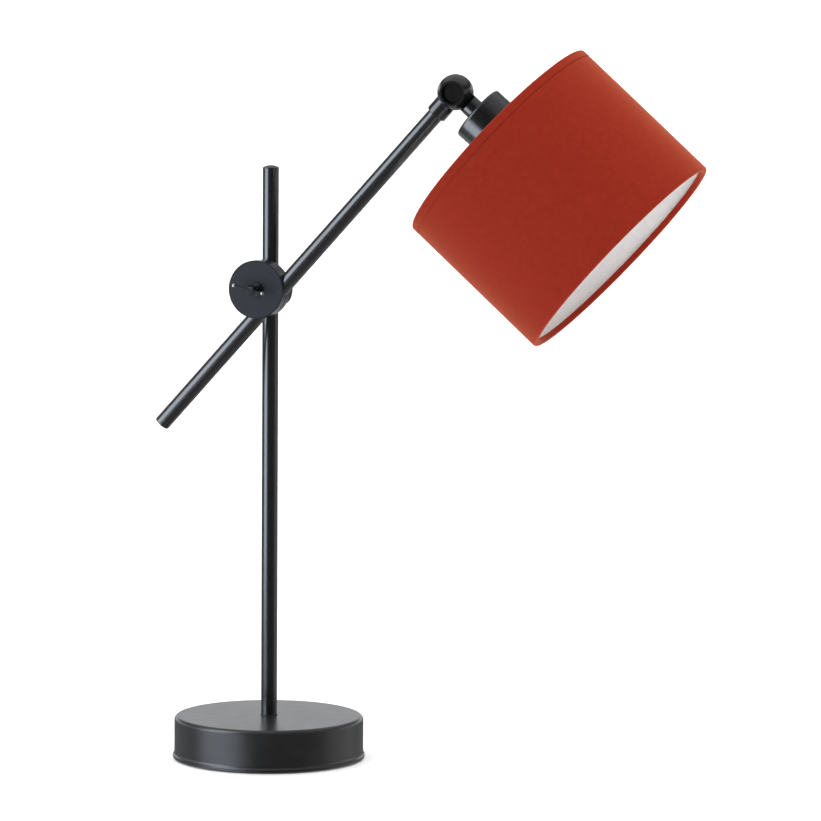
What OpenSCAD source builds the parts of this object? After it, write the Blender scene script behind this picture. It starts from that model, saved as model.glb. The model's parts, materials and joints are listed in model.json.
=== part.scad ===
// Architect desk lamp: round weighted base, sliding mast clamp, tilting arm and drum shade.
// Frame: origin at the centre of the base's underside, +Z up, the arm leans towards +X,
// and the clamp's round face looks along -Y.

/* [Base] */
// Diameter of the base
base_d = 142; // [130:1:170]
// Height of the base over its pad
base_h = 32; // [28:1:36]
// Thickness of the base's turned steel cover
cover_wall = 2; // [1.5:0.5:2.5]
// Radius of the base's top edge
base_edge = 3; // [2:0.5:4]

/* [Mast] */
// Diameter of the mast and arm tubes
tube_d = 12; // [12:1:12]
// Wall of the mast and arm tubes
tube_wall = 1; // [1:0.25:1.5]
// Height of the mast's top over the table
mast_top = 445; // [430:1:480]
// Height of the clamp's pivot over the table
pivot_z = 354.3; // [340:0.1:360]

/* [Clamp] */
// Diameter of the clamp's round body
disc_d = 43; // [42:0.5:46]
// Thickness of the clamp's round body
disc_t = 16; // [15:0.5:17]
// Distance from the mast's axis forward to the arm's axis
arm_forward = 22.6; // [22.4:0.1:24]
// Distance from the clamp screw's axis to the arm's axis
arm_offset = 12.3; // [12:0.1:13]
// Length of the clamp screw's cross bar between its ball centres
tee_len = 23; // [20:1:28]
// Turn of the cross bar from level
tee_turn = 13.5; // [0:0.5:180]

/* [Arm] */
// Angle of the arm over the horizontal
arm_deg = 47.5; // [20:0.5:70]
// Length of the arm from the clamp to the knuckle's centre
arm_up = 210.9; // [180:0.1:230]
// Length of the arm from the clamp to its lower end
arm_down = 128.6; // [110:0.1:150]

/* [Head] */
// Diameter of the knuckle's ball
ball_d = 26.5; // [26:0.5:28]
// Turn of the head about the arm
head_turn = 5.7; // [-20:0.1:20]
// Angle between the arm and the head's axis
head_deg = 88.9; // [80:0.1:110]
// Distance from the knuckle's centre to the top of the socket cup
cup_start = 21; // [21:0.1:24]
// Diameter of the socket cup
cup_d = 42.8; // [42:0.2:46]

/* [Shade] */
// Outer diameter of the shade
shade_d = 178; // [170:1:190]
// Height of the shade
shade_h = 124.4; // [115:0.1:130]
// Distance from the knuckle's centre to the shade's top edge
shade_start = 45.9; // [45:0.1:47]
// Sideways sag of the shade on its spider
shade_sag = 4.7; // [0:0.1:7]
// Lean of the shade on its spider, towards the arm
shade_lean = 1.2; // [0:0.1:4]
// Lean of the shade on its spider, sideways
shade_tip = 1.9; // [0:0.1:2.5]
// Thickness of the shade's fabric
fabric_t = 0.8; // [0.6:0.1:1]

/* [Hidden] */
$fn = 96;

fit_gap = 0.05;      // radial gap of a running fit
face_gap = 0.15;     // gap between two faces that turn on each other
tube_r = tube_d / 2;
tube_bore = tube_r - tube_wall;
base_r = base_d / 2;
pad_t = 1.5;
plate_t = 1.2;       // steel plate over the pad
cover_z = 0.8;       // lower rim of the cover
bead_out = 1;        // how far the cover's lower bead stands out
bead_z = 3;          // top of the bead
bead_slope = 2.2;    // height of the slope over the bead
grommet_z = 11;      // height of the cord's inlet
grommet_r = 4.5;
cord_hole_r = 3.3;
weight_r = 66;
weight_z = 12.5;
weight_top = base_h - cover_wall;
post_ring_r = 45;    // circle of the base screws
post_r = 5;
base_screw_r = 2;
foot_ring_w = 0.5;   // width and height of the ring at the mast's foot
foot_ring_h = 0.5;
cap_lip = 0.45;      // how far the mast's cap stands out over the tube
cap_rise = 1.9;      // height of its domed top
cap_seat = 2.6;      // from the cap's top to the end of the tube
cap_plug = 9;        // from the cap's top to the end of its plug
liner_r = 7.5;
block_r = 11.6;      // radius of the cross block, which lies along X
block_half = 13.7;   // half of its length
block_edge = 0.7;
boss_y = 13.35;      // front face of the cross block's boss
disc_r = disc_d / 2;
disc_front = arm_forward + disc_t / 2;
disc_back = arm_forward - disc_t / 2;
disc_edge = 0.8;
screw_r = 2.95;
flange_r = 5.6;      // flange of the clamp screw
flange_t = 1.6;
flange_front = disc_front + face_gap + flange_t;
hub_r = 2.8;         // the screw's hub, in front of its flange
hub_len = 9.95;
hub_edge = 0.8;
tee_y = disc_front + 9.3;
tee_r = 1;           // radius of the cross bar
tee_ball_r = 1.6;
tee_shift = -2.4;    // the cross bar's middle, to one side of the screw
ball_r = ball_d / 2;
ball_gap = 0.4;      // half of the gap between the knuckle's two halves
collar_r = 7.8;
collar_edge = 0.6;
collar_len = 22;     // from the knuckle's centre to the collar's lower edge
collar_seat = 14.4;  // from the knuckle's centre to the end of the arm tube
neck_r = 7.5;
outer_gap = 0.35;    // gap between the ball and the sleeve of the other half
boss_r = 9.2;
boss_front = 11.3;
boss_floor = 5.4;
boss_bore = 7.9;
pin_r = 2.5;
pin_head_r = 6.3;
pin_head_t = 1.5;
slot_depth = 0.7;
nut_pocket_r = 5.2;
nut_pocket_y = 6.3;
cup_r = cup_d / 2;
cup_wall = 1.2;
cup_edge = 2.4;      // radius of the cup's closed end
stub_r = 5;          // threaded stub that holds the cup
rim_r = 26;          // rim of the cup and of the spider's hub
hub_t = 52.05;       // top face of the spider's hub, along the head's axis
hub_plate = 1.2;
holder_r = 19.5;
shade_r = shade_d / 2;
wire_r = 1.3;
wire_ring_r = shade_r - 2.2;
wire_ring_z = fabric_t + wire_r + 0.1;
lining_r = shade_r - fabric_t - fit_gap;
lining_t = 0.55;
lining_hem = 4.2;    // from the shade's edges to the lining's
arm_count = 3;       // arms of the spider
arm_r = 1.1;
arm_end_r = wire_ring_r - 0.6;
arm_end_z = 4.3;     // the arms rest on the top ring

// Places of the moving parts
module clamp_frame() translate([0, 0, pivot_z]) children();
module arm_frame()
    translate([0, -arm_forward, pivot_z]) rotate([0, 90 - arm_deg, 0])
        translate([arm_offset, 0, 0]) children();
module knuckle_frame() arm_frame() translate([0, 0, arm_up]) rotate([0, 0, head_turn]) children();
module head_frame() knuckle_frame() rotate([0, head_deg, 0]) children();
module shade_frame()
    head_frame() translate([shade_sag, 0, shade_start]) rotate([shade_tip, shade_lean, 0]) children();

// A cylinder along Y from y0 to y1, and one along X from x0 to x1
module rod_y(r, y0, y1) translate([0, y1, 0]) rotate([90, 0, 0]) cylinder(r = r, h = y1 - y0);
module rod_x(r, x0, x1) translate([x0, 0, 0]) rotate([0, 90, 0]) cylinder(r = r, h = x1 - x0);
module tube(ro, ri, z0, z1)
    translate([0, 0, z0]) difference() {
        cylinder(r = ro, h = z1 - z0);
        translate([0, 0, -1]) cylinder(r = ri, h = z1 - z0 + 2);
    }
// A straight round bar between two points
module bar(p, q, r) {
    v = q - p;
    turn = atan2(v[1], v[0]);
    drop = atan2(norm([v[0], v[1]]), v[2]);
    translate(p) rotate([0, drop, turn]) cylinder(r = r, h = norm(v), $fn = 32);
}
// Points of an arc of radius r about (cx, cy), from angle a0 to a1
function arc(cx, cy, r, a0, a1, n = 8) =
    [for (i = [0:n]) [cx + r * cos(a0 + (a1 - a0) * i / n), cy + r * sin(a0 + (a1 - a0) * i / n)]];

// Base
module base_cover() color([0.10, 0.10, 0.11]) difference() {
    rotate_extrude() polygon(concat(
        [[tube_r + 0.15, base_h]],
        [for (p = arc(base_r - base_edge, base_h - base_edge, base_edge, 90, 0)) p],
        [[base_r, bead_z + bead_slope], [base_r + bead_out / 4, bead_z + bead_slope / 2]],
        [[base_r + bead_out, bead_z], [base_r + bead_out, cover_z + 0.5], [base_r + bead_out - 0.5, cover_z]],
        [[base_r - cover_wall, cover_z], [base_r - cover_wall, base_h - base_edge]],
        [for (p = arc(base_r - base_edge, base_h - base_edge, base_edge - cover_wall, 0, 90)) p],
        [[tube_r + 0.15, base_h - cover_wall]]));
    translate([0, base_r, grommet_z]) rod_y(grommet_r, -6, 6);
}
module base_weight() color([0.22, 0.22, 0.23]) difference() {
    union() {
        translate([0, 0, weight_z]) cylinder(r = weight_r, h = weight_top - weight_z);
        for (i = [0:2]) rotate(120 * i + 30)
            translate([post_ring_r, 0, pad_t + plate_t])
                cylinder(r = post_r, h = weight_z - pad_t - plate_t + 1);
    }
    translate([0, 0, weight_z - 1]) cylinder(r = tube_r + 0.3, h = 30);
    for (i = [0:2]) rotate(120 * i + 30)
        translate([post_ring_r, 0, 0]) cylinder(r = base_screw_r + fit_gap, h = 14);
}
module base_plate() color([0.3, 0.3, 0.32]) difference() {
    translate([0, 0, pad_t]) cylinder(r = weight_r + 1, h = plate_t);
    for (i = [0:2]) rotate(120 * i + 30) translate([post_ring_r, 0, 0]) cylinder(r = 4.2, h = 6);
}
module base_screws() color([0.6, 0.6, 0.62])
    for (i = [0:2]) rotate(120 * i + 30) translate([post_ring_r, 0, 0]) difference() {
        union() {
            translate([0, 0, pad_t + 0.1]) cylinder(r = 3.9, h = 1.1);
            translate([0, 0, pad_t + 0.5]) cylinder(r = base_screw_r, h = 11);
        }
        translate([-0.5, -5, pad_t]) cube([1, 10, 0.7]);
    }
module base_pad() color([0.05, 0.05, 0.05]) cylinder(r = base_r - cover_wall - 0.5, h = pad_t);
module cord_grommet() color([0.05, 0.05, 0.05])
    translate([0, base_r, grommet_z]) difference() {
        union() {
            rod_y(grommet_r - 0.05, -3.5, 1.6);
            rod_y(grommet_r + 1.4, 0.35, 2);
        }
        rod_y(cord_hole_r, -5, 5);
    }

// Mast
module mast_tube() color([0.08, 0.08, 0.09]) tube(tube_r, tube_bore, 6, mast_top - cap_seat);
module mast_foot_ring() color([0.05, 0.05, 0.05])
    rotate_extrude() polygon([[tube_r + fit_gap, base_h], [tube_r + foot_ring_w, base_h],
        [tube_r + foot_ring_w, base_h + foot_ring_h / 2], [tube_r + foot_ring_w / 2, base_h + foot_ring_h],
        [tube_r + fit_gap, base_h + foot_ring_h]]);
module mast_washer() color([0.6, 0.6, 0.62]) tube(13, tube_r + 0.1, weight_z - 1.5, weight_z);
module mast_nut() color([0.6, 0.6, 0.62]) difference() {
    translate([0, 0, weight_z - 6.5]) cylinder(r = 10.9, h = 5, $fn = 6);
    translate([0, 0, weight_z - 8]) cylinder(r = tube_r + 0.03, h = 9);
}
module mast_end_cap() color([0.45, 0.45, 0.46]) rotate_extrude() {
    lip_r = tube_r + cap_lip;
    dome_r = (lip_r * lip_r + cap_rise * cap_rise) / (2 * cap_rise);
    polygon(concat(
        arc(0, mast_top - dome_r, dome_r, 90, acos(lip_r / dome_r)),
        [[lip_r, mast_top - cap_rise - 0.4], [tube_r, mast_top - cap_seat]],
        [[tube_bore - fit_gap, mast_top - cap_seat], [tube_bore - fit_gap, mast_top - cap_plug]],
        [[0, mast_top - cap_plug]]));
}

// Clamp
module mast_liner() color([0.9, 0.9, 0.88]) clamp_frame() difference() {
    union() {
        translate([0, 0, -block_r - 1.5]) cylinder(r = liner_r, h = 2 * block_r + 3);
        for (s = [0, 1]) mirror([0, 0, s])
            translate([0, 0, block_r + 0.3]) cylinder(r = liner_r + 1.7, h = 1.2);
    }
    translate([0, 0, -30]) cylinder(r = tube_r + fit_gap, h = 60);
}
module cross_block() color([0.12, 0.12, 0.13]) clamp_frame() difference() {
    union() {
        rotate([0, 90, 0]) translate([0, 0, -block_half]) rotate_extrude() polygon([
            [0, 0], [block_r - block_edge, 0], [block_r, block_edge],
            [block_r, 2 * block_half - block_edge], [block_r - block_edge, 2 * block_half],
            [0, 2 * block_half]]);
        rod_y(9, -boss_y, -4);
    }
    translate([0, 0, -20]) cylinder(r = liner_r + fit_gap, h = 40);
    rod_y(screw_r + fit_gap, -20, -4);
}
module friction_washer() color([0.03, 0.03, 0.03]) clamp_frame() difference() {
    rod_y(12.5, -disc_back + face_gap, -boss_y);
    rod_y(screw_r + 0.3, -20, 0);
}
module clamp_disc() color([0.30, 0.32, 0.35]) arm_frame() difference() {
    translate([-arm_offset, disc_t / 2, 0]) rotate([90, 0, 0]) rotate_extrude() polygon([
        [screw_r + 0.25, 0], [disc_r - disc_edge, 0], [disc_r, disc_edge],
        [disc_r, disc_t - 0.5], [disc_r - 0.5, disc_t], [screw_r + 0.25, disc_t]]);
    translate([0, 0, -40]) cylinder(r = tube_r + fit_gap, h = 80);
    translate([0, -0.5, -40]) cube([30, 1, 80]);
}
module tee_turned() clamp_frame() translate([0, -tee_y, 0]) rotate([0, tee_turn, 0]) children();
module clamp_screw() color([0.10, 0.10, 0.11]) difference() {
    clamp_frame() union() {
        rod_y(screw_r, -disc_front - 1, -liner_r - 0.3);
        rod_y(flange_r, -flange_front, -disc_front - face_gap);
        translate([0, -flange_front, 0]) rotate([90, 0, 0]) rotate_extrude() polygon([
            [0, -0.5], [hub_r, -0.5], [hub_r, hub_len - hub_edge],
            [hub_r - hub_edge, hub_len], [0, hub_len]]);
    }
    tee_turned() rod_x(tee_r + fit_gap, -hub_r - 2, hub_r + 2);
}
module tee_bar() color([0.10, 0.10, 0.11])
    tee_turned() rod_x(tee_r, tee_shift - tee_len / 2, tee_shift + tee_len / 2);
module tee_bar_balls() color([0.10, 0.10, 0.11]) tee_turned()
    for (s = [-1, 1]) translate([tee_shift + s * tee_len / 2, 0, 0]) rotate([0, 90 * s, 0])
        rotate_extrude() polygon(concat(
            [[0, 0], [tee_r, 0]], arc(0, 0, tee_ball_r, -acos(tee_r / tee_ball_r), 90)));

// Arm
module arm_tube() color([0.08, 0.08, 0.09]) arm_frame()
    tube(tube_r, tube_bore, 1.6 - arm_down, arm_up - collar_seat);
module arm_end_cap() color([0.08, 0.08, 0.09]) arm_frame()
    mirror([0, 0, 1]) translate([0, 0, arm_down - 20]) arm_cap();
module arm_cap() rotate_extrude() polygon(concat(
    [[0, 20], [tube_r - 0.8, 20]], arc(tube_r - 0.8, 19.2, 0.8, 90, 0),
    [[tube_r, 18.4], [tube_bore - fit_gap, 18.4], [tube_bore - fit_gap, 11], [0, 11]]));

// Knuckle
module half_ball(side) intersection() {
    sphere(r = ball_r);
    if (side < 0) translate([-20, -40 - ball_gap, -20]) cube([40, 40, 40]);
    else translate([-20, ball_gap, -20]) cube([40, 40, 40]);
}
module knuckle_front() color([0.12, 0.12, 0.13]) knuckle_frame() difference() {
    union() {
        half_ball(-1);
        rod_y(boss_r, -boss_front, -4);
        translate([0, 0, -collar_len]) rotate_extrude() polygon([
            [0, 0], [collar_r - collar_edge, 0], [collar_r, collar_edge],
            [collar_r, collar_len - ball_r - outer_gap], [0, collar_len - ball_r - outer_gap]]);
        intersection() {
            translate([0, 0, -ball_r - 1]) cylinder(r = collar_r, h = 9);
            translate([-20, -40 - ball_gap, -20]) cube([40, 40, 40]);
        }
    }
    translate([0, 0, -collar_len - 1]) cylinder(r = tube_r + fit_gap, h = collar_len + 1 - collar_seat);
    rod_y(boss_bore, -ball_r - 1, -boss_floor);
    rod_y(pin_r + 0.03, -20, 20);
}
module knuckle_friction_disc() color([0.03, 0.03, 0.03]) knuckle_frame() difference() {
    rod_y(ball_r - 0.9, -0.2, 0.2);
    rod_y(pin_r + 0.1, -5, 5);
}
module knuckle_screw() color([0.16, 0.16, 0.17]) knuckle_frame() difference() {
    union() {
        rod_y(pin_head_r, -boss_floor - pin_head_t, -boss_floor);
        rod_y(pin_r, -boss_floor - 1, 11);
    }
    rotate([0, 35, 0]) translate([-10, -boss_floor - pin_head_t - 1, -0.7]) cube([20, 1 + slot_depth, 1.4]);
}
module knuckle_nut() color([0.6, 0.6, 0.62]) knuckle_frame() difference() {
    translate([0, 10.6, 0]) rotate([90, 0, 0]) cylinder(r = 4.6, h = 4, $fn = 6);
    rod_y(pin_r + 0.03, 0, 20);
}
module knuckle_rear() color([0.12, 0.12, 0.13]) head_frame() difference() {
    union() {
        half_ball(1);
        translate([0, 0, ball_r + outer_gap]) cylinder(r = neck_r, h = cup_start - ball_r - outer_gap);
        intersection() {
            translate([0, 0, 6]) cylinder(r = neck_r, h = 8);
            translate([-20, ball_gap, -20]) cube([40, 40, 40]);
        }
        translate([0, 0, cup_start - 1]) cylinder(r = stub_r, h = 7);
    }
    rod_y(pin_r + fit_gap, -20, 20);
    rod_y(nut_pocket_r, nut_pocket_y, 20);
}

// Lamp head
module neck_nut() color([0.6, 0.6, 0.62]) head_frame() difference() {
    translate([0, 0, cup_start + cup_wall]) cylinder(r = 8, h = 4, $fn = 6);
    translate([0, 0, cup_start]) cylinder(r = stub_r + 0.03, h = 8);
}
module socket_cup() color([0.12, 0.12, 0.13]) head_frame() rotate_extrude() polygon(concat(
    [[stub_r + 0.1, cup_start]],
    arc(cup_r - cup_edge, cup_start + cup_edge, cup_edge, -90, 0),
    [[cup_r, hub_t - cup_wall], [rim_r, hub_t - cup_wall], [rim_r, hub_t], [cup_r - cup_wall, hub_t]],
    arc(cup_r - cup_edge, cup_start + cup_edge, cup_edge - cup_wall, 0, -90),
    [[stub_r + 0.1, cup_start + cup_wall]]));
module lampholder() color([0.05, 0.05, 0.05]) head_frame() rotate_extrude() polygon([
    [8.6, cup_start + 2], [14, cup_start + 2], [14, cup_start + 7], [holder_r, cup_start + 13],
    [holder_r, 64], [13.9, 64], [13.9, 38], [4, 38], [4, 33], [8.6, 33]]);
module lampholder_contact() color([0.75, 0.6, 0.25]) head_frame() union() {
    translate([0, 0, 33.5]) cylinder(r = 3.9, h = 5);
    translate([0, 0, 38.05]) cylinder(r = 6, h = 0.6);
}
module shade_ring_nut() color([0.05, 0.05, 0.05]) head_frame() rotate_extrude() polygon([
    [holder_r + 0.1, hub_t + hub_plate], [25, hub_t + hub_plate], [25, hub_t + hub_plate + 2],
    [22.5, hub_t + hub_plate + 6], [holder_r + 0.1, hub_t + hub_plate + 6]]);

// A point of the shade's frame, seen from the head's frame
function from_shade(p) = [
    shade_sag + p[0] * cos(shade_lean) + (p[1] * sin(shade_tip) + p[2] * cos(shade_tip)) * sin(shade_lean),
    p[1] * cos(shade_tip) - p[2] * sin(shade_tip),
    shade_start - p[0] * sin(shade_lean) + (p[1] * sin(shade_tip) + p[2] * cos(shade_tip)) * cos(shade_lean)];
module wire_ring(z) shade_frame() translate([0, 0, z])
    rotate_extrude() translate([wire_ring_r, 0]) circle(r = wire_r, $fn = 32);
module shade_hub() color([0.85, 0.85, 0.85]) head_frame()
    tube(rim_r, holder_r + 0.5, hub_t, hub_t + hub_plate);
module shade_arms() color([0.85, 0.85, 0.85]) difference() {
    for (i = [0:arm_count - 1]) {
        a = 360 / arm_count * i + 60;
        end = from_shade([arm_end_r * cos(a), arm_end_r * sin(a), arm_end_z]);
        head_frame() bar([(rim_r - 1) * cos(a), (rim_r - 1) * sin(a), hub_t + hub_plate / 2], end, arm_r);
    }
    head_frame() cylinder(r = rim_r, h = 2 * hub_t);
    wire_ring(wire_ring_z);
}
module shade_top_ring() color([0.85, 0.85, 0.85]) wire_ring(wire_ring_z);
module shade_bottom_ring() color([0.85, 0.85, 0.85]) wire_ring(shade_h - wire_ring_z);
module shade_skin() color([0.60, 0.19, 0.13]) shade_frame() tube(shade_r, shade_r - fabric_t, 0, shade_h);
module shade_lining() color([0.88, 0.86, 0.84]) shade_frame()
    tube(lining_r, lining_r - lining_t, lining_hem, shade_h - lining_hem);

// Bulb
module bulb_cap() color([0.8, 0.8, 0.82]) head_frame() rotate_extrude() polygon([
    [0, 38.8], [4.5, 38.8], [5, 40], [11, 42.5], [13.2, 44], [13.2, 64.5], [0, 64.5]]);
module bulb_glass() color([0.95, 0.95, 0.93]) head_frame() rotate_extrude() polygon(concat(
    [[0, 64.55], [13, 64.55], [14.5, 71], [18.5, 82]],
    arc(0, 110, 30, -52, 90, 24)));

base_cover();
base_weight();
base_plate();
base_screws();
base_pad();
cord_grommet();
mast_tube();
mast_foot_ring();
mast_washer();
mast_nut();
mast_end_cap();
mast_liner();
cross_block();
friction_washer();
clamp_disc();
clamp_screw();
tee_bar();
tee_bar_balls();
arm_tube();
arm_end_cap();
knuckle_front();
knuckle_friction_disc();
knuckle_screw();
knuckle_nut();
knuckle_rear();
neck_nut();
socket_cup();
lampholder();
lampholder_contact();
shade_ring_nut();
shade_hub();
shade_arms();
shade_top_ring();
shade_bottom_ring();
shade_skin();
shade_lining();
bulb_cap();
bulb_glass();
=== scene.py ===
import json
import math

import bmesh
import bpy
from mathutils import Matrix, Vector


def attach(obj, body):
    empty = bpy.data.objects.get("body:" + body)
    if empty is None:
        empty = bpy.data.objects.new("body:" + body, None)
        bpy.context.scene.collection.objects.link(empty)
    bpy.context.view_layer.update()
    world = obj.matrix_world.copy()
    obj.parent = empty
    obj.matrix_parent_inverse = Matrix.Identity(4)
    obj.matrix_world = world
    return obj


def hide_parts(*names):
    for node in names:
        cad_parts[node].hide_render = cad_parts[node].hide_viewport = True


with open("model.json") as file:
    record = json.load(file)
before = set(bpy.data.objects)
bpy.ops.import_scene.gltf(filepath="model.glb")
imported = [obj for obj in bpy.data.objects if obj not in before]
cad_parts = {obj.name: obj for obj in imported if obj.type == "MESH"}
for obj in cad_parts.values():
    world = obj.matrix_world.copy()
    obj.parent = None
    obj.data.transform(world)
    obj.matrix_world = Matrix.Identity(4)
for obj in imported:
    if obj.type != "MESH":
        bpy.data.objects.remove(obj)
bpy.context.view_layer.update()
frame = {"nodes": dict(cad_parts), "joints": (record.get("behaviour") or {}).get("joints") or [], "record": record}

MM = 0.001

# Driving sizes, in millimetres and degrees. The shade's place and outer size are the CAD's
HEAD_DEG = 88.9          # angle between the arm and the head's axis
SHADE_START = 45.9       # from the knuckle's centre to the shade's top edge
SHADE_SAG = 4.7          # how far the shade's axis lies beside the head's
SHADE_LEAN = 1.2         # degrees between the two axes, in the arm's plane
SHADE_TIP = 1.9          # and across it
SHADE_R = 89.0
SHADE_H = 124.4
FABRIC_T = 0.55          # the cover's fabric
LINING_T = 0.35          # the lining's sheet

JOINTS = {j["name"]: j for j in frame["joints"]}


def joint_point(name):
    return Vector(JOINTS[name]["pos_m"])


def joint_axis(name):
    return Vector(JOINTS[name]["axis"]).normalized()


def frame_at(origin, z_axis, y_axis):
    """A frame's matrix from its origin, its Z and its Y."""
    x_axis = y_axis.cross(z_axis).normalized()
    m = Matrix((x_axis, y_axis.normalized(), z_axis.normalized())).transposed().to_4x4()
    m.translation = origin
    return m


def turn(degrees, axis):
    return Matrix.Rotation(math.radians(degrees), 4, axis)


def shift(x, y, z):
    return Matrix.Translation(Vector((x, y, z)) * MM)


PIVOT = Vector((0, 0, joint_point("arm_tilt").z))
KNUCKLE = frame_at(joint_point("head_tilt"), joint_axis("arm_slide"), joint_axis("head_tilt"))
HEAD = KNUCKLE @ turn(HEAD_DEG, "Y")
SHADE = HEAD @ shift(SHADE_SAG, 0, SHADE_START) @ turn(SHADE_LEAN, "Y") @ turn(SHADE_TIP, "X")


# ---------------------------------------------------------------- camera, light and floor

def make_camera():
    """A long lens, a little to the right of the clamp's face and a little above the lamp."""
    azimuth = math.radians(21)
    distance = 3.147
    height = 0.5733
    heading = azimuth - math.radians(1.909)
    down = math.radians(5.641)
    roll = math.radians(0.388)
    level = Vector((-math.sin(heading), math.cos(heading), 0))
    forward = level * math.cos(down) - Vector((0, 0, math.sin(down)))
    right = Vector((math.cos(heading), math.sin(heading), 0))
    up = right.cross(forward)
    rolled_right = right * math.cos(roll) + up * math.sin(roll)
    rolled_up = up * math.cos(roll) - right * math.sin(roll)
    place = Matrix((rolled_right, rolled_up, -forward)).transposed().to_4x4()
    place.translation = Vector((math.sin(azimuth) * distance, -math.cos(azimuth) * distance, height))
    data = bpy.data.cameras.new("camera")
    data.lens = 185.69
    data.sensor_width = 36
    data.clip_end = 1000
    camera = bpy.data.objects.new("camera", data)
    camera.matrix_world = place
    bpy.context.scene.collection.objects.link(camera)
    bpy.context.scene.camera = camera


LAMP_MIDDLE = Vector((0.1, 0, 0))
COOL = (0.86, 0.93, 1.06)
NEUTRAL = (1.0, 1.0, 1.0)


def make_softbox(name, azimuth, distance, width, low, high, radiance, color):
    """An upright soft box from height low to high. Azimuth 0 is in front, and 90 to the right.
    Only gloss sees it: the even light on the fabric comes from overhead and from the studio."""
    a = math.radians(azimuth)
    away = Vector((math.sin(a), -math.cos(a), 0))
    data = bpy.data.lights.new(name, "AREA")
    data.shape = "RECTANGLE"
    data.size = width
    data.size_y = high - low
    data.energy = radiance * math.pi * width * (high - low)
    data.color = color
    lamp = bpy.data.objects.new(name, data)
    lamp.matrix_world = away.to_track_quat("Z", "Y").to_matrix().to_4x4()
    lamp.location = LAMP_MIDDLE + Vector((0, 0, (low + high) / 2)) + away * distance
    lamp.visible_camera = False
    lamp.visible_diffuse = False
    bpy.context.scene.collection.objects.link(lamp)


def make_sun(strength, angle):
    """A wide overhead light that is the same all over the floor."""
    data = bpy.data.lights.new("overhead", "SUN")
    data.energy = strength
    data.angle = math.radians(angle)
    lamp = bpy.data.objects.new("overhead", data)
    lamp.visible_glossy = False
    bpy.context.scene.collection.objects.link(lamp)


# Levels of light by height on the unit sphere, behind the lamp and in front of it
BACK_LEVELS = ((-0.30, 0.60), (-0.17, 0.22), (0.02, 0.25), (0.08, 1.60), (0.22, 1.50), (0.31, 0.22),
               (0.48, 0.18), (0.70, 0.85), (0.90, 0.75))
FRONT_LEVELS = ((-0.60, 0.16), (-0.10, 0.09), (0.50, 0.10), (0.90, 0.60))
VIEW_HEADING = (-0.36, 0.93, 0)


def make_world():
    """A studio that is brighter behind the lamp: a band just over the horizon, and a panel high up."""
    world = bpy.data.worlds.new("studio")
    world.use_nodes = True
    nodes = Nodes(world.node_tree)
    background = world.node_tree.nodes["Background"]
    direction = nodes.add("TexCoord").outputs["Generated"]
    behind = nodes.add("VectorMath", operation="DOT_PRODUCT")
    nodes.link(direction, behind, 0)
    behind.inputs[1].default_value = VIEW_HEADING
    height = nodes.add("SeparateXYZ")
    nodes.link(direction, height, 0)
    level = nodes.span(height.outputs["Z"], 0.0, 1.0, -1.0, 1.0)
    mixed = nodes.add("Mix", data_type="RGBA")
    all_front = -0.9
    all_back = 0.6
    nodes.link(nodes.span(behind.outputs["Value"], 0.0, 1.0, all_front, all_back), mixed, 0)
    for socket, levels in ((6, FRONT_LEVELS), (7, BACK_LEVELS)):
        ramp = nodes.add("ValToRGB")
        elements = ramp.color_ramp.elements
        elements.remove(elements[1])
        for i, (z, light) in enumerate(levels):
            position = (z + 1) / 2
            element = elements.new(position) if i else elements[0]
            element.position = position
            element.color = (0.97 * light, 0.985 * light, light, 1)
        nodes.link(level, ramp, "Fac")
        nodes.link(ramp.outputs["Color"], mixed, socket)
    nodes.link(mixed.outputs[2], background, "Color")
    bpy.context.scene.world = world
    bpy.context.scene.view_settings.view_transform = "Standard"


def stage_piece(name, build):
    """A floor or backdrop that the black paint's gloss doesn't show."""
    mesh = bpy.data.meshes.new(name)
    bm = bmesh.new()
    build(bm)
    bm.to_mesh(mesh)
    bm.free()
    piece = bpy.data.objects.new(name, mesh)
    piece.visible_glossy = False
    piece.visible_shadow = False
    bpy.context.scene.collection.objects.link(piece)
    return piece


def glow(shader, strength):
    shader.inputs["Emission Color"].default_value = (1, 1, 1, 1)
    shader.inputs["Emission Strength"].default_value = strength


def make_floor():
    """White paper round the lamp, out to a pale backdrop. It glows a little, to keep the shadow weak."""
    reach = 25.0
    floor = stage_piece("floor", lambda bm: bmesh.ops.create_circle(
        bm, cap_ends=True, segments=128, radius=reach))
    material, shader, nodes = new_material("floor_paper", (0.9, 0.9, 0.9), 0.9)
    mottle(nodes, shader, (0.895, 0.895, 0.895), (0.905, 0.905, 0.905), 3000.0)
    shader.inputs["Specular IOR Level"].default_value = 0.1
    glow(shader, 0.15)
    floor.data.materials.append(material)
    backdrop = stage_piece("backdrop", lambda bm: bmesh.ops.create_cone(
        bm, cap_ends=False, segments=128, radius1=reach, radius2=reach, depth=reach / 2))
    material, shader, _ = new_material("backdrop_glow", (1.0, 1.0, 1.0), 0.9)
    glow(shader, 1.0)
    backdrop.data.materials.append(material)
    backdrop.visible_diffuse = False


# ---------------------------------------------------------------- materials

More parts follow.
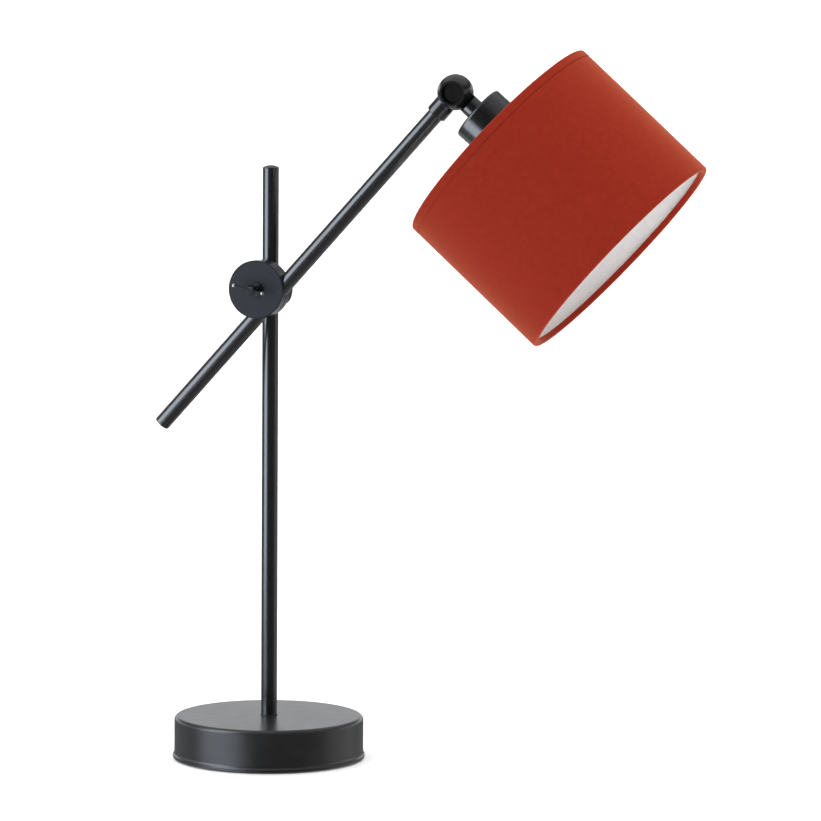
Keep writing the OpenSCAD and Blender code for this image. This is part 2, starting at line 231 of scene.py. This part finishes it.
class Nodes:
    """A short way to add and link shader nodes in one material."""

    def __init__(self, tree):
        self.tree = tree

    def add(self, kind, **values):
        node = self.tree.nodes.new("ShaderNode" + kind)
        for key, value in values.items():
            setattr(node, key, value)
        return node

    def link(self, output, node, socket):
        self.tree.links.new(output, node.inputs[socket])

    def place(self, centre=(0, 0, 0)):
        """Coordinates on the piece, in metres from centre."""
        coordinates = self.add("TexCoord")
        moved = self.add("VectorMath", operation="SUBTRACT")
        self.link(coordinates.outputs["Object"], moved, 0)
        moved.inputs[1].default_value = centre
        return moved.outputs[0]

    def noise(self, size_mm, detail=2.0):
        """A noise pattern whose grains are about size_mm across."""
        texture = self.add("TexNoise")
        texture.inputs["Scale"].default_value = 1 / (size_mm * MM)
        texture.inputs["Detail"].default_value = detail
        self.link(self.place(), texture, "Vector")
        return texture.outputs["Fac"]

    def ramp(self, value, low, high, low_at=0.35, high_at=0.65):
        """A colour between low and high, as value goes from low_at to high_at."""
        ramp = self.add("ValToRGB")
        ramp.color_ramp.elements[0].position = low_at
        ramp.color_ramp.elements[1].position = high_at
        ramp.color_ramp.elements[0].color = (*low, 1)
        ramp.color_ramp.elements[1].color = (*high, 1)
        self.link(value, ramp, "Fac")
        return ramp.outputs["Color"]

    def span(self, value, low, high, start=0.0, end=1.0):
        """value from start to end mapped to low to high."""
        mapped = self.add("MapRange")
        mapped.inputs["From Min"].default_value = start
        mapped.inputs["From Max"].default_value = end
        mapped.inputs["To Min"].default_value = low
        mapped.inputs["To Max"].default_value = high
        self.link(value, mapped, "Value")
        return mapped.outputs["Result"]

    def bump(self, height, depth_mm, under=None):
        """A normal from a height that goes from 0 to depth_mm."""
        bump = self.add("Bump")
        bump.inputs["Strength"].default_value = 1.0
        bump.inputs["Distance"].default_value = depth_mm * MM
        self.link(height, bump, "Height")
        if under:
            self.link(under, bump, "Normal")
        return bump.outputs["Normal"]


def new_material(name, color, roughness, metallic=0.0):
    material = bpy.data.materials.new(name)
    material.use_nodes = True
    shader = material.node_tree.nodes["Principled BSDF"]
    shader.inputs["Base Color"].default_value = (*color, 1)
    shader.inputs["Roughness"].default_value = roughness
    shader.inputs["Metallic"].default_value = metallic
    return material, shader, Nodes(material.node_tree)


def mottle(nodes, shader, low, high, size_mm):
    """A base colour that wanders between low and high, in clouds of about size_mm."""
    nodes.link(nodes.ramp(nodes.noise(size_mm, 3.0), low, high), shader, "Base Color")


def painted(name, low, high, roughness, peel_mm=1.2, peel_depth=0.006, ior=1.5):
    """Sprayed paint: a faint mottle, an uneven gloss and a fine orange peel."""
    material, shader, nodes = new_material(name, low, roughness[0])
    mottle(nodes, shader, low, high, 14.0)
    shader.inputs["IOR"].default_value = ior
    nodes.link(nodes.span(nodes.noise(9.0, 4.0), *roughness), shader, "Roughness")
    peel = nodes.bump(nodes.noise(peel_mm, 2.0), peel_depth)
    fine = nodes.bump(nodes.noise(peel_mm / 5, 1.0), peel_depth / 5, peel)
    nodes.link(fine, shader, "Normal")
    return material


def turned(name, low, high, roughness, centre, plane, pitch_mm, depth, face_r, rim_roughness):
    """Paint on a lathe-turned face: fine rings round centre, in the plane whose axes have a 1.
    Past the radius face_r is the rim, which is smoother."""
    material, shader, nodes = new_material(name, low, roughness[0])
    shader.inputs["Specular IOR Level"].default_value = 0.22
    flat = nodes.add("VectorMath", operation="MULTIPLY")
    nodes.link(nodes.place(centre), flat, 0)
    flat.inputs[1].default_value = plane
    reach = nodes.add("VectorMath", operation="LENGTH")
    nodes.link(flat.outputs[0], reach, 0)
    ring = nodes.add("TexNoise", noise_dimensions="1D")
    ring.inputs["Scale"].default_value = 1 / (pitch_mm * MM)
    ring.inputs["Detail"].default_value = 3.0
    nodes.link(reach.outputs["Value"], ring, "W")
    nodes.link(nodes.ramp(ring.outputs["Fac"], low, high), shader, "Base Color")
    mixed = nodes.add("Mix", data_type="FLOAT")
    rim = nodes.span(reach.outputs["Value"], 0.0, 1.0, face_r * MM, (face_r + 0.4) * MM)
    nodes.link(rim, mixed, 0)
    nodes.link(nodes.span(ring.outputs["Fac"], *roughness), mixed, 2)
    mixed.inputs[3].default_value = rim_roughness
    nodes.link(mixed.outputs[0], shader, "Roughness")
    peel = nodes.bump(nodes.noise(0.5, 2.0), depth / 2)
    nodes.link(nodes.bump(ring.outputs["Fac"], depth, peel), shader, "Normal")
    return material


def metal(name, low, high, roughness, grain_mm=0.4, depth=0.004):
    """Bare metal with a fine grain."""
    material, shader, nodes = new_material(name, low, roughness[0], 1.0)
    mottle(nodes, shader, low, high, 6.0)
    grain = nodes.noise(grain_mm, 3.0)
    nodes.link(nodes.span(grain, *roughness), shader, "Roughness")
    nodes.link(nodes.bump(grain, depth), shader, "Normal")
    return material


def plastic(name, low, high, roughness, grain_mm=0.8, depth=0.01):
    """Moulded plastic or rubber with a fine grain."""
    material, shader, nodes = new_material(name, low, roughness[0])
    mottle(nodes, shader, low, high, 8.0)
    grain = nodes.noise(grain_mm, 3.0)
    nodes.link(nodes.span(grain, *roughness), shader, "Roughness")
    nodes.link(nodes.bump(grain, depth), shader, "Normal")
    return material


def felt():
    """Black felt with loose fibres."""
    material, shader, nodes = new_material("felt", (0.03, 0.03, 0.032), 0.95)
    fibres = nodes.noise(0.7, 6.0)
    nodes.link(nodes.ramp(fibres, (0.018, 0.018, 0.02), (0.06, 0.06, 0.062)), shader, "Base Color")
    nodes.link(nodes.bump(fibres, 0.25), shader, "Normal")
    shader.inputs["Sheen Weight"].default_value = 0.4
    shader.inputs["Sheen Roughness"].default_value = 0.5
    return material


def velour():
    """Brick-red velour: a short pile that goes lighter and more orange where it is seen edge on."""
    material, shader, nodes = new_material("brick_velour", (0.28, 0.023, 0.011), 0.9)
    cloud = nodes.noise(4.0, 3.0)
    pile = nodes.noise(0.45, 3.0)
    mixed = nodes.add("Mix", data_type="FLOAT")
    mixed.inputs[0].default_value = 0.35
    nodes.link(cloud, mixed, 2)
    nodes.link(pile, mixed, 3)
    color = nodes.ramp(mixed.outputs[0], (0.262, 0.0205, 0.0095), (0.318, 0.0275, 0.0135), 0.3, 0.7)
    nodes.link(color, shader, "Base Color")
    shader.inputs["Specular IOR Level"].default_value = 0.05
    shader.inputs["Sheen Weight"].default_value = 0.42
    shader.inputs["Sheen Roughness"].default_value = 0.4
    shader.inputs["Sheen Tint"].default_value = (1.0, 0.36, 0.18, 1)
    soft = nodes.bump(cloud, 0.05)
    nodes.link(nodes.bump(pile, 0.06, soft), shader, "Normal")
    return material


def lining():
    """White lining sheet with a fine woven grain."""
    material, shader, nodes = new_material("white_lining", (0.81, 0.785, 0.775), 0.6)
    weave = nodes.noise(0.6, 2.0)
    mottle(nodes, shader, (0.79, 0.765, 0.755), (0.84, 0.815, 0.805), 3.0)
    nodes.link(nodes.bump(weave, 0.03), shader, "Normal")
    return material


def frosted_glass():
    """White glass of a frosted bulb, which lets a little light through."""
    material, shader, nodes = new_material("opal_glass", (0.93, 0.93, 0.91), 0.35)
    mottle(nodes, shader, (0.91, 0.91, 0.89), (0.95, 0.95, 0.93), 10.0)
    nodes.link(nodes.bump(nodes.noise(0.3, 2.0), 0.004), shader, "Normal")
    shader.inputs["Subsurface Weight"].default_value = 0.3
    shader.inputs["Subsurface Radius"].default_value = (0.003, 0.003, 0.003)
    return material


# Pairs of colours, between which a finish wanders
BLACK = ((0.004, 0.004, 0.005), (0.006, 0.006, 0.007))
ENAMEL = ((0.010, 0.010, 0.011), (0.014, 0.014, 0.015))
TURNED = ((0.006, 0.008, 0.011), (0.015, 0.019, 0.025))
IRON = ((0.10, 0.10, 0.10), (0.20, 0.20, 0.20))
ZINC = ((0.50, 0.50, 0.51), (0.62, 0.62, 0.64))
RUBBER = ((0.012, 0.012, 0.012), (0.022, 0.022, 0.022))
NYLON = ((0.70, 0.70, 0.68), (0.78, 0.78, 0.76))
BAKELITE = ((0.012, 0.011, 0.010), (0.020, 0.018, 0.016))
BRASS = ((0.62, 0.42, 0.16), (0.74, 0.52, 0.22))
WIRE = ((0.70, 0.70, 0.69), (0.76, 0.76, 0.75))
ALUMINIUM = ((0.66, 0.66, 0.68), (0.78, 0.78, 0.80))
NICKEL = ((0.30, 0.31, 0.33), (0.40, 0.41, 0.43))
DISC_FACE_R = 20.6       # where the clamp disc's flat face ends, in millimetres

# The slots' materials
MATERIALS = {
    "base_enamel": painted("base_enamel", *ENAMEL, (0.28, 0.34), ior=1.6),
    "cast_iron": metal("cast_iron", *IRON, (0.55, 0.8), 1.5, 0.15),
    "zinc_steel": metal("zinc_steel", *ZINC, (0.25, 0.45)),
    "felt": felt(),
    "black_rubber": plastic("black_rubber", *RUBBER, (0.55, 0.75)),
    "black_tube": painted("black_tube", *BLACK, (0.21, 0.26), 0.9, ior=1.8),
    "white_nylon": plastic("white_nylon", *NYLON, (0.4, 0.55)),
    "black_satin": painted("black_satin", *BLACK, (0.19, 0.26), 0.7, ior=1.7),
    "turned_black": turned(
        "turned_black", *TURNED, (0.34, 0.48), centre=PIVOT, plane=(1, 0, 1), pitch_mm=0.5, depth=0.014,
        face_r=DISC_FACE_R, rim_roughness=0.2),
    "bakelite": plastic("bakelite", *BAKELITE, (0.18, 0.28), 2.0, 0.004),
    "brass": metal("brass", *BRASS, (0.22, 0.38)),
    "white_wire": painted("white_wire", *WIRE, (0.30, 0.42), 0.6),
    "shade_fabric": velour(),
    "shade_lining": lining(),
    "bulb_cap_metal": metal("bulb_cap_metal", *ALUMINIUM, (0.25, 0.4)),
    "bulb_glass": frosted_glass(),
}

# Small nodes with a finish of their own
FINISHES = {
    "clamp_screw": painted("gloss_black", *BLACK, (0.09, 0.14), 0.7, ior=1.9),
    "tee_bar": painted("gloss_bar", *BLACK, (0.30, 0.38), 0.5, ior=1.35),
    "knuckle_screw": painted("gloss_screw", *BLACK, (0.10, 0.15), 0.7, ior=1.9),
    "tee_bar_balls": metal("black_nickel", *NICKEL, (0.10, 0.16)),
}

# The radius of each node's edges, in millimetres
ROUND_EDGES = {
    "base_plate": 0.2, "cord_grommet": 0.4, "clamp_disc": 0.35, "clamp_screw": 0.3, "cross_block": 0.35,
    "knuckle_front": 0.3, "knuckle_rear": 0.3, "knuckle_screw": 1.2, "knuckle_nut": 0.3, "mast_nut": 0.4,
    "neck_nut": 0.4, "socket_cup": 0.35, "lampholder": 0.4, "shade_ring_nut": 0.4, "mast_liner": 0.3,
    "base_cover": 0.4, "mast_end_cap": 0.12,
}


def round_edges(node, width):
    """Breaks a node's sharp edges with a small radius, in millimetres. Its mesh data stays as packed."""
    merge = node.modifiers.new("flat_faces", "DECIMATE")
    merge.decimate_type = "DISSOLVE"
    merge.angle_limit = math.radians(0.5)
    bevel = node.modifiers.new("broken_edges", "BEVEL")
    bevel.width = width * MM
    bevel.segments = 3
    bevel.limit_method = "ANGLE"
    bevel.angle_limit = math.radians(28)
    bevel.use_clamp_overlap = True


def dress_frame():
    """Gives each carried-over node its own finish or its slot's material, and rounds its edges."""
    slots = {s["node"]: s["material_slot"] for s in frame["record"]["subparts"]}
    for name, node in frame["nodes"].items():
        node.data.materials.clear()
        node.data.materials.append(FINISHES.get(name) or MATERIALS[slots[name]])
        if name in ROUND_EDGES:
            round_edges(node, ROUND_EDGES[name])


# ---------------------------------------------------------------- shapes

LATHE_STEPS = 288
SHARP_ANGLE = 32         # edges sharper than this, in degrees, stay crisp


def outline(corners):
    """A closed outline's points in (radius, height), in millimetres. A corner (r, z, fillet) is rounded."""
    points = []
    count = len(corners)
    for i, corner in enumerate(corners):
        at = Vector(corner[:2])
        if len(corner) < 3:
            points.append(at)
            continue
        before = (Vector(corners[i - 1][:2]) - at).normalized()
        after = (Vector(corners[(i + 1) % count][:2]) - at).normalized()
        half = before.angle(after) / 2
        centre = at + (before + after).normalized() * corner[2] / math.sin(half)
        start = at + before * corner[2] / math.tan(half) - centre
        sweep = math.pi - 2 * half
        side = 1 if before.x * after.y - before.y * after.x < 0 else -1
        steps = max(3, round(math.degrees(sweep) / 12))
        for k in range(steps + 1):
            spoke = start.copy()
            spoke.rotate(Matrix.Rotation(side * sweep * k / steps, 2))
            points.append(centre + spoke)
    return points


def lathe(name, points, place, swell):
    """A ring of the outline's points, turned about place's Z. swell(angle) is added to the radius."""
    mesh = bpy.data.meshes.new(name)
    bm = bmesh.new()
    rings = []
    for p in points:
        ring = []
        for k in range(LATHE_STEPS):
            angle = 2 * math.pi * k / LATHE_STEPS
            r = p.x + swell(angle)
            ring.append(bm.verts.new(Vector((r * math.cos(angle), r * math.sin(angle), p.y)) * MM))
        rings.append(ring)
    for low, high in zip(rings, rings[1:] + rings[:1]):
        for k in range(LATHE_STEPS):
            n = (k + 1) % LATHE_STEPS
            bm.faces.new((low[k], low[n], high[n], high[k]))
    bmesh.ops.recalc_face_normals(bm, faces=bm.faces)
    bm.to_mesh(mesh)
    bm.free()
    mesh.transform(place)
    for polygon in mesh.polygons:
        polygon.use_smooth = True
    mesh.set_sharp_from_angle(angle=math.radians(SHARP_ANGLE))
    piece = bpy.data.objects.new(name, mesh)
    bpy.context.scene.collection.objects.link(piece)
    return piece


def finish_piece(piece, body, slot, node):
    """The piece takes the slot's material, rides the body and stands for the node."""
    piece.data.materials.append(MATERIALS[slot])
    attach(piece, body)
    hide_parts(node)


# ---------------------------------------------------------------- shade

SEAM_AT = math.radians(100)      # the glued overlap, at the shade's far side
OVERLAP = math.radians(6.5)      # 10 mm of fabric
FADE = math.radians(4)           # beyond it, the outer layer comes down to the inner one


def glued_overlap(lift):
    """A sheet rolled round with its ends overlapped: it stands proud by lift over the overlap."""
    def swell(angle):
        past = (angle - SEAM_AT) % (2 * math.pi)
        if past < OVERLAP:
            return lift
        return lift * max(0.0, 1 - (past - OVERLAP) / FADE)
    return swell


def make_cover():
    """The outer fabric, turned in over the wire rings at both ends, with a pressed line below the top."""
    out = SHADE_R
    wall = FABRIC_T
    crown = out + 0.05           # the fabric stands out a little over the rings
    fold = 4.4                   # how far it turns in over them
    inner = out - fold
    tuck = 3.6                   # how far the top hem turns back along the wall
    low_tuck = 4.4               # and the bottom hem
    low_edge = SHADE_H - low_tuck
    line = 7.0                   # from the top to the pressed line
    groove = 0.7                 # its depth
    corners = [
        (out, SHADE_H / 2), (out, line + 1.6), (out, line + 0.8, 0.5), (out - groove, line, 0.25),
        (crown, line - 0.9, 0.6), (out + 0.1, line - 2, 2), (crown, 0, 1.7),
        (inner, 0, 1.5), (inner, tuck, 0.15), (inner + wall, tuck, 0.15),
        (inner + wall, wall, 1.0), (out - wall, wall, 1.1), (out - wall, line - 0.6),
        (out - wall - 0.5, line), (out - wall, line + 0.6), (out - wall, SHADE_H - 6),
        (out - wall, SHADE_H - wall, 1.1), (inner + wall, SHADE_H - wall, 1.0),
        (inner + wall, low_edge, 0.15), (inner, low_edge, 0.15),
        (inner, SHADE_H, 1.5), (crown, SHADE_H, 1.7), (out, SHADE_H - 5, 6),
    ]
    cover = lathe("shade_cover", outline(corners), SHADE, glued_overlap(0.45))
    finish_piece(cover, "head", "shade_fabric", "shade_skin")
    cover.visible_glossy = False


def make_lining():
    """The white lining sheet on the cover's inside, short of its hems."""
    back = SHADE_R - FABRIC_T - 0.1
    face = back - LINING_T
    hem = 4.0
    corners = [(back, hem), (back, SHADE_H - hem), (face, SHADE_H - hem), (face, hem)]
    sheet = lathe("shade_lining_sheet", outline(corners), SHADE, glued_overlap(-LINING_T))
    finish_piece(sheet, "head", "shade_lining", "shade_lining")


# ---------------------------------------------------------------- the lamp

make_camera()
make_world()
make_floor()
make_sun(2.9, 90)
make_softbox("key_left", -48, 1.2, 0.9, -0.04, 1.6, 4.4, COOL)
make_softbox("key_low", -40, 3.0, 3.0, -2.4, -0.75, 4.8, COOL)
make_softbox("fill_right", 120, 2.4, 2.4, -1.0, 0.6, 0.35, NEUTRAL)
dress_frame()
make_cover()
make_lining()
